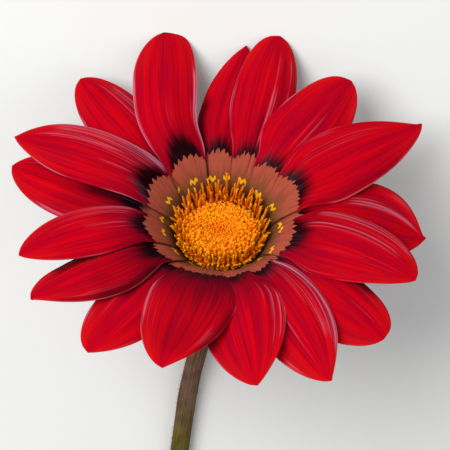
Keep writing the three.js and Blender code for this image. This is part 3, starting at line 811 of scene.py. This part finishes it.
def pollen(looks):
    """Grains of pollen on the florets round the middle."""
    grain = primitive("ico_sphere", "pollen_grain", subdivisions=1, radius=0.11)
    scaled(grain, 1, 1, 0.8)
    draw = random.Random(5)
    grains = []
    for _ in range(looks.grains):
        r = 2.8 + 3.9 * draw.random() ** 0.8
        angle = draw.uniform(0, 2 * pi)
        outward = radians(90 - 28 * (r / BUD_REACH) ** 2)
        direction = polar(cos(outward), angle, sin(outward))
        foot = bud_place(r, angle) + direction * draw.uniform(0.9, 1.9)
        place = standing(foot, direction) @ Matrix.Scale(draw.uniform(0.7, 1.3), 4)
        grains.append((place, draw.random()))
    return placed(planted("pollen", grain, grains, "seed"), 80)


def floret_finish(name, looks, root_shares, tip_share):
    """Orange florets that are brown at the root and golden at the tip, with painted light on those at the
    back of the disc.
    """
    f = Finish(name)
    rise, seed, middle, painted_light = f.marks("rise seed middle dusted")
    grain = f.grain(2600)
    # Painted light lightens the brown roots of the florets at the back of the disc
    above_root = f.ease(rise + (grain - 0.5) * 0.3 + middle * 0.35 + painted_light * 0.5, *root_shares)
    tip = f.ease(rise + (grain - 0.5) * 0.35, tip_share, 1) * f.ease(seed + grain * 0.4, 0.3, 1.1)
    body = f.layers(
        looks.root,
        (looks.orange, above_root),
        (looks.deep_orange, f.ease(seed, 0.35, 1) * (0.55 - middle * 0.2)),
        (looks.golden, tip * (1 - middle * 0.9)),
        # Painted light: the florets at the back of the disc are painted golden
        (looks.golden, painted_light * f.ease(rise + (grain - 0.5) * 0.6, 0, 0.6)),
    )
    return f.surface(body, 0.48 + grain * 0.2, 0.12, Normal=f.bump(grain, 0.0001, 0.6))


def dome_finish(looks):
    f = Finish("dome")
    grain = f.grain(1800)
    body = f.layers(looks.root, (looks.deep_orange, f.ease(grain, 0.3, 0.6) * 0.8))
    return f.surface(body, 0.8, 0.05, Normal=f.bump(grain, 0.0002))


def pollen_finish(looks):
    f = Finish("pollen")
    body = f.layers(looks.golden, (looks.pollen_yellow, *f.marks("seed")))
    return f.surface(body, 0.55 + f.grain(3000, 2) * 0.2, 0.15)


# ---- Involucre ----
def cup_piece():
    """The cup of bracts grown together, with a shallow rib down each bract, and the boss under the disc."""
    fine = []
    for (r0, z0), (r1, z1) in zip(CUP_OUTLINE, CUP_OUTLINE[1:]):
        fine += [(r0 + (r1 - r0) * k / 3, z0 + (z1 - z0) * k / 3) for k in range(3)]
    ob = grown("involucre_cup", CUP_SIDES, [*fine, CUP_OUTLINE[-1], *BOSS_OUTLINE])
    points = points_of(ob)
    angle, radius = round_axis(points)
    wall = (points[:, 2] > CUP_BOTTOM + 0.2) & (points[:, 2] < -1.0)
    rib = 0.16 * np.abs(np.cos(BRACTS / 2 * angle)) ** 0.6 - 0.1
    points[:, :2] *= np.where(wall, 1 + rib / np.maximum(radius, 1), 1)[:, None]
    set_points(ob, points)
    set_marks(ob, round=(angle / (2 * pi)) % 1, rise=share(points[:, 2], CUP_BOTTOM, 12), rim=3)
    return placed(ob, 50)


def lobe_row(name, row, looks):
    """The free tips of one row of bracts: narrow pointed leaves with a keel, bent outwards."""
    lobe = primitive("grid", "bract_lobe", x_subdivisions=18, y_subdivisions=8, size=1)
    flat = points_of(lobe)
    t, q = flat[:, 0] + 0.5, flat[:, 1] * 2
    start, middle, end = np.array(row["path"])[:, :, None]
    bend = 2 * middle - (start + end) / 2
    r, z = (1 - t) ** 2 * start + 2 * t * (1 - t) * bend + t * t * end
    width = row["width"] / 2 * np.maximum(1 - t**1.9, 0.03) ** 0.75
    keel = 0.14 * (1 - np.abs(q)) ** 2 * (1 - t)
    hollow = 0.22 * q * q * (1 - 0.5 * t)
    set_points(lobe, np.stack([r - LOBE_INSET + keel - hollow, -q * width, z + 0.1], -1))
    set_marks(lobe, rise=t, round=0.5 + q * 0.02, rim=(1 - np.abs(q)) * width)
    thickened(lobe, looks.lobe_thickness / MM)
    draw = random.Random(row["count"])
    root = Vector((row["path"][0][0], 0, row["path"][0][1]))
    lobes = []
    for k in range(row["count"]):
        heading = turned(k * 360 / row["count"] + row["turn"], "Z")
        size = Matrix.Scale(draw.uniform(0.9, 1.06), 4)
        nod = Matrix.Rotation(draw.uniform(-0.04, 0.06), 4, "Y")
        place = heading @ Matrix.Translation(root) @ nod @ size @ Matrix.Translation(-root)
        lobes.append((place, draw.random()))
    return placed(planted(name, lobe, lobes, "seed"), 50)


def bract_finish(looks):
    f = Finish("bract")
    around, rise, rim = f.marks("round rise rim")
    mottle = f.grain(420)
    relief = f.streaks(around * 160, rise * 2.2, 0, 3) * 0.6 + mottle * 0.4
    tip = f.ease(rise + (mottle - 0.5) * 0.3, 0.72, 1) * f.ease(rim, -1, 1.2)
    body = f.layers(
        looks.bract_dark,
        (looks.bract, f.ease(relief, 0.36, 0.62)),
        (looks.bract_pale, f.fade(rim, 0.1, 0.42) * 0.8),
        (looks.bract_tip, tip * 0.7),
    )
    sheen = {"Sheen Weight": 0.12}
    return f.surface(body, 0.55 + mottle * 0.15, Normal=f.bump(relief, 0.0002, 0.6), **sheen)


# ---- Stem ----
def stem_line():
    """Places along the stem's middle, from the neck to the cut end, and their distances along it."""
    neck = BLOOM_PLACE @ Vector((0, 0, CUP_BOTTOM - CLEARANCE))
    away = BLOOM_PLACE.to_3x3() @ Vector((0, 0, -1))
    heading = radians(STEM_HEADING)
    along = Vector((-sin(heading), -cos(heading), 0))
    rest_height = SOLID_RADIUS * cos(pi / SOLID_FACETS)
    touchdown = Vector((BLOOM_CENTRE.x + STEM_TOUCHDOWN[0], BLOOM_CENTRE.y + STEM_TOUCHDOWN[1], rest_height))
    handles = neck + away * STEM_PULL[0], touchdown - along * STEM_PULL[1]
    line = interpolate_bezier(neck, *handles, touchdown, BEND_POINTS)
    line += [touchdown + along * (STEM_REST_LENGTH * (k + 1) / REST_POINTS) for k in range(REST_POINTS)]
    line = np.array(line)
    run = np.concatenate([[0], np.cumsum(np.linalg.norm(np.diff(line, axis=0), axis=1))])
    return line, run


def stem_frame(run_at):
    """The stem's middle, its direction, and the ways sideways and down, at distances from its neck."""
    line, run = stem_line()
    tangent = read_off(run_at, run, np.gradient(line, run, axis=0))
    tangent /= np.linalg.norm(tangent, axis=1)[:, None]
    side = np.cross([0, 0, 1], tangent)
    side /= np.linalg.norm(side, axis=1)[:, None]
    return read_off(run_at, run, line), tangent, side, np.cross(side, tangent)


def stem_radius(run, looks):
    """Wider at the neck, and a little uneven along its length."""
    neck = 0.35 * (1 - ease(run, 0, 14))
    return looks.stem_radius / MM + neck + 0.03 * np.sin(run * 0.21) + 0.02 * np.sin(run * 0.53 + 1)


def stem_piece(looks):
    """A rod laid along the stem's line, with fine ribs and a hollowed pith at the cut end."""
    line_length = stem_line()[1][-1]
    cut = [(0.92, 1.0), (0.7, 0.999), (0.45, 0.996), (0.2, 0.991)]
    ob = grown("stem_stalk", STEM_SIDES, [(1.0, k / STEM_ROWS) for k in range(STEM_ROWS + 1)] + cut)
    flat = points_of(ob)
    run = flat[:, 2] * line_length
    angle, out = round_axis(flat)
    at, _, side, down = stem_frame(run)
    rib = 0.022 * np.cos(STEM_RIBS * angle) * (out > 0.99)
    radius = (out * (stem_radius(run, looks) + rib))[:, None]
    points = at + side * np.sin(angle)[:, None] * radius + down * np.cos(angle)[:, None] * radius
    points[:, 2] = points[:, 2].clip(FLOOR_GAP / MM)
    set_points(ob, points)
    set_marks(ob, round=(angle / (2 * pi)) % 1, run=run, out=out)
    ob.data.transform(TO_METRES)
    closed_outwards(ob)
    return smoothed(ob)


def stem_hairs(looks):
    """Short pale hairs all over the stem, as slim three-sided cones."""
    cone = {"vertices": 3, "radius1": 0.025, "radius2": 0, "depth": 1}
    hair = primitive("cone", "stem_hair", location=(0, 0, 0.42), **cone)
    bpy.ops.object.transform_apply()
    draw = random.Random(23)
    line_length = stem_line()[1][-1]
    runs = np.array([draw.uniform(1.0, line_length - 0.6) for _ in range(looks.hairs)])
    hairs = []
    for at, tangent, side, down, radius in zip(*stem_frame(runs), stem_radius(runs, looks)):
        angle = draw.uniform(0, 2 * pi)
        out = Vector(side * sin(angle) + down * cos(angle))
        along = Vector(tangent)
        lean = along * draw.uniform(-0.2, 0.9) + out.cross(along) * draw.uniform(-0.5, 0.5)
        direction = (out + lean).normalized()
        foot = Vector(at) + out * float(radius)
        size = draw.uniform(0.35, 0.85)
        if (foot + direction * size).z > 0.05:
            hairs.append([standing(foot, direction) @ Matrix.Diagonal((1, 1, size, 1))])
    return placed(planted("stem_hairs", hair, hairs), 80, TO_METRES)


def stem_finish(looks):
    f = Finish("stem")
    around, run, out = f.marks("round run out")
    lines = f.streaks(around * 40, run * 0.07, 0, 3)
    mottle = f.grain(300, 4)
    green = f.layers(looks.stem_olive, (looks.stem_green, f.ease(lines * 0.5 + mottle * 0.5, 0.4, 0.6)))
    cut = f.layers(looks.pith, (looks.cut_ring, f.ease(out + (mottle - 0.5) * 0.2, 0.55, 0.85)))
    body = f.layers(
        looks.stem_brown,
        (looks.stem_mauve, f.ease(lines * 0.6 + mottle * 0.4, 0.36, 0.6)),
        (green, f.ease(run + (mottle - 0.5) * 12 + (lines - 0.5) * 10, 33, 49)),
        (looks.stem_pale, f.ease(mottle, 0.55, 0.75) * 0.25),
        (cut, f.fade(out, 0.9, 0.985)),
    )
    bump = f.bump(lines * 0.7 + mottle * 0.3, 0.0002, 0.6)
    return f.surface(body, 0.58 + mottle * 0.2, 0.03, Normal=bump)


def hair_finish(looks):
    f = Finish("stem hair")
    body = f.layers(looks.hair, (looks.hair_shade, f.ease(f.grain(500, 2), 0.4, 0.7)))
    return f.surface(body, 0.7, 0.03)


# ---- Settings ----
class GazaniaPetalSettings(bpy.types.PropertyGroup):
    thickness: length("Thickness", "Thickness of a petal at its middle", 0.3)
    pleat_height: length("Pleat height", "Height of the low pleats along a petal", 0.11)
    fold_height: length("Fold height", "Height of the strongest fold along a petal", 0.3)
    red: colour("petals' blades", "cd000e")
    # deep_red is the lines' own colour and also paints shade in the pleats' grooves
    deep_red: colour("blades' lines and grooves", "8a0022")
    # dark_red is partly the blades' own deeper red and partly painted shade near the dark zone
    dark_red: colour("blades near the dark zone", "5a0018")
    # orange_red is partly the petals' own tint and partly a painted glow of light through the tips
    orange_red: colour("blades' tips and margins", "e61e04")
    # The veins' colour shows mostly within the painted sheen on the folds
    vein: colour("thin veins", "d26e8c")
    # pale is painted sheen on the folds and a painted highlight along the margins
    pale: colour("folds and margins", "c88ca4")
    # The dark zone's own near-black, also used for painted shade in the hollows
    dark_zone_and_shade: colour("dark zone past the basal spot", "0c0206")
    # Painted reflection of the sky on the shiny dark zone
    dark_zone_reflection: colour("streaks on the dark zone", "4a3e48")
    spot: colour("basal spot", "ac503c")
    spot_shade: colour("lines on the basal spot", "8e4232")
    spot_inner: colour("spot round its yellow mark", "6e4a2a")
    # The roots' own brown, also used for painted shade on the spot under hollows and along its margins
    root_and_shade_brown: colour("petals' roots", "3c2a16")
    yellow_mark: colour("small zigzag mark", "ffb400")
    back: colour("petals' undersides", "a83848")
    back_band: colour("band down the underside", "6a4038")
    back_root: colour("underside near its root", "8a7a4a")


class GazaniaDiscSettings(bpy.types.PropertyGroup):
    buds: number("closed florets", 50, 1200, 500)
    grains: number("grains of pollen", 0, 3000, 900)
    orange: colour("florets", "ee7800")
    deep_orange: colour("darker florets", "d05400")
    golden: colour("florets' tips", "ffae08")
    root: colour("florets' roots", "96480a")
    pollen_yellow: colour("brightest pollen", "ffd21e")


class GazaniaGreenSettings(bpy.types.PropertyGroup):
    stem_radius: length("Stem radius", "Radius of the stem below its neck", 1.9)
    lobe_thickness: length("Lobe thickness", "Thickness of the bracts' free tips", 0.4)
    hairs: number("hairs on the stem", 0, 8000, 3000)
    bract: colour("bracts", "6c8644")
    bract_dark: colour("lines on the bracts", "47602e")
    bract_pale: colour("bracts' margins", "b4b894")
    bract_tip: colour("bracts' tips", "7a4a3a")
    stem_mauve: colour("upper stem's lighter streaks", "745848")
    stem_brown: colour("upper stem's darker streaks", "4e3726")
    stem_olive: colour("lower stem's darker streaks", "50461a")
    stem_green: colour("lower stem's lighter streaks", "646022")
    stem_pale: colour("stem's pale patches", "866e5c")
    pith: colour("pith at the cut end", "dcdcb4")
    cut_ring: colour("ring round the pith at the cut end", "8ea050")
    hair: colour("hairs", "86705c")
    hair_shade: colour("darker hairs", "5a4836")


class GazaniaStageSettings(bpy.types.PropertyGroup):
    floor: colour("floor", "ecece8")
    sky: colour("light from all round", "f2f5fa")
    sky_strength: amount("Sky strength", "Strength of the light from all round", 0.5)
    key_power: amount("Key power", "Power of the main light", 4.2, "POWER")
    fill_power: amount("Fill power", "Power of the second light", 0.5, "POWER")


# ---- Operators ----
class GAZANIA_OT_petals(bpy.types.Operator):
    """Builds the seventeen petals and the ring they stand in"""

    bl_idname = "gazania.petals"
    bl_label = "Petals"

    def execute(self, context):
        looks = context.scene.gazania_petals
        finish = petal_finish(looks)
        for k, p in enumerate(PETALS):
            seed = (k * 0.618034) % 1
            kept(petal_piece(p, seed, looks), finish, "ray_florets")
        kept(root_ring(), root_finish(looks), "ray_florets")
        return {"FINISHED"}


class GAZANIA_OT_disc(bpy.types.Operator):
    """Builds the disc: its dome, the closed buds, the open florets and the pollen"""

    bl_idname = "gazania.disc"
    bl_label = "Disc florets"

    def execute(self, context):
        looks = context.scene.gazania_disc
        kept(disc_dome(), dome_finish(looks), "disc_florets")
        kept(disc_buds(looks), floret_finish("bud", looks, (0.2, 0.75), 0.72), "disc_florets")
        rods = floret_finish("open floret", looks, (0.0, 0.45), 0.7)
        for k, row in enumerate(ROD_ROWS):
            kept(open_florets(f"open_florets_{k + 1}", row, k + 3), rods, "disc_florets")
        kept(pollen(looks), pollen_finish(looks), "disc_florets")
        return {"FINISHED"}


class GAZANIA_OT_involucre(bpy.types.Operator):
    """Builds the green cup of bracts and its two rows of free lobes"""

    bl_idname = "gazania.involucre"
    bl_label = "Involucre"

    def execute(self, context):
        looks = context.scene.gazania_green
        finish = bract_finish(looks)
        kept(cup_piece(), finish, "involucre")
        for k, row in enumerate(LOBE_ROWS):
            kept(lobe_row(f"bract_lobes_{k + 1}", row, looks), finish, "involucre")
        return {"FINISHED"}


class GAZANIA_OT_stem(bpy.types.Operator):
    """Builds the stem and the hairs on it"""

    bl_idname = "gazania.stem"
    bl_label = "Stem"

    def execute(self, context):
        looks = context.scene.gazania_green
        kept(stem_piece(looks), stem_finish(looks), "stem")
        kept(stem_hairs(looks), hair_finish(looks), "stem")
        return {"FINISHED"}


class GAZANIA_OT_stage(bpy.types.Operator):
    """Lays the floor and sets the lights and the camera"""

    bl_idname = "gazania.stage"
    bl_label = "Stage"

    def execute(self, context):
        looks = context.scene.gazania_stage
        floor = primitive("plane", "floor", size=6)
        floor.data.materials.append(Finish("floor").surface(looks.floor, 0.9))

        world = bpy.data.worlds.new("sky")
        world.use_nodes = True
        background = world.node_tree.nodes["Background"]
        background.inputs["Color"].default_value = (*looks.sky, 1)
        background.inputs["Strength"].default_value = looks.sky_strength
        context.scene.world = world
        context.scene.view_settings.view_transform = "Standard"

        area_light("key", (-0.5, 0.45, 0.85), 0.7, 0.5, looks.key_power)
        area_light("fill", (0.7, -0.3, 0.9), 0.8, 0.6, looks.fill_power)
        camera()
        return {"FINISHED"}


def area_light(name, direction, distance, size, power):
    """A round lamp that shines on the bloom from a direction."""
    lamp = bpy.data.lights.new(name, "AREA")
    lamp.shape = "DISK"
    lamp.size = size
    lamp.energy = power
    away = Vector(direction).normalized()
    place = Matrix.Translation(BLOOM_CENTRE * MM + away * distance)
    linked(name, lamp).matrix_world = place @ away.to_track_quat("Z", "Y").to_matrix().to_4x4()


def camera():
    tilt = radians(CAMERA_TILT)
    back = Vector((0, sin(tilt), cos(tilt)))
    up = Vector((0, cos(tilt), -sin(tilt)))
    right = Vector((1, 0, 0))
    aim = BLOOM_CENTRE + right * AIM_RIGHT + up * AIM_UP
    lens = bpy.data.cameras.new("camera")
    lens.sensor_width = SENSOR
    lens.lens = SENSOR * CAMERA_DISTANCE / VIEW_WIDTH
    lens.clip_start, lens.clip_end = 0.01, 20
    ob = linked("camera", lens)
    turn = Matrix((right, up, back)).transposed().to_4x4()
    ob.matrix_world = Matrix.Translation((aim + back * CAMERA_DISTANCE) * MM) @ turn
    bpy.context.scene.camera = ob


class GAZANIA_PT_panel(bpy.types.Panel):
    """Lists the pieces of the bloom and their settings"""

    bl_idname = "GAZANIA_PT_panel"
    bl_label = "Gazania"
    bl_space_type = "VIEW_3D"
    bl_region_type = "UI"
    bl_category = "Gazania"

    def draw(self, context):
        layout = self.layout
        for step in STEPS:
            layout.operator(step.bl_idname)
        for group in SETTINGS:
            box = layout.box()
            settings = getattr(context.scene, group)
            for key in settings.bl_rna.properties.keys():
                if key not in ("rna_type", "name"):
                    box.prop(settings, key)


SETTINGS = {
    "gazania_petals": GazaniaPetalSettings,
    "gazania_disc": GazaniaDiscSettings,
    "gazania_green": GazaniaGreenSettings,
    "gazania_stage": GazaniaStageSettings,
}
STEPS = [GAZANIA_OT_stage, GAZANIA_OT_petals, GAZANIA_OT_disc, GAZANIA_OT_involucre, GAZANIA_OT_stem]
CLASSES = (*SETTINGS.values(), *STEPS, GAZANIA_PT_panel)


def register():
    for made in CLASSES:
        bpy.utils.register_class(made)
    for name, group in SETTINGS.items():
        setattr(bpy.types.Scene, name, PointerProperty(type=group))


def unregister():
    for name in SETTINGS:
        delattr(bpy.types.Scene, name)
    for made in reversed(CLASSES):
        bpy.utils.unregister_class(made)


def main():
    register()
    for step in STEPS:
        area, name = step.bl_idname.split(".")
        getattr(getattr(bpy.ops, area), name)()


if __name__ == "__main__":
    main()
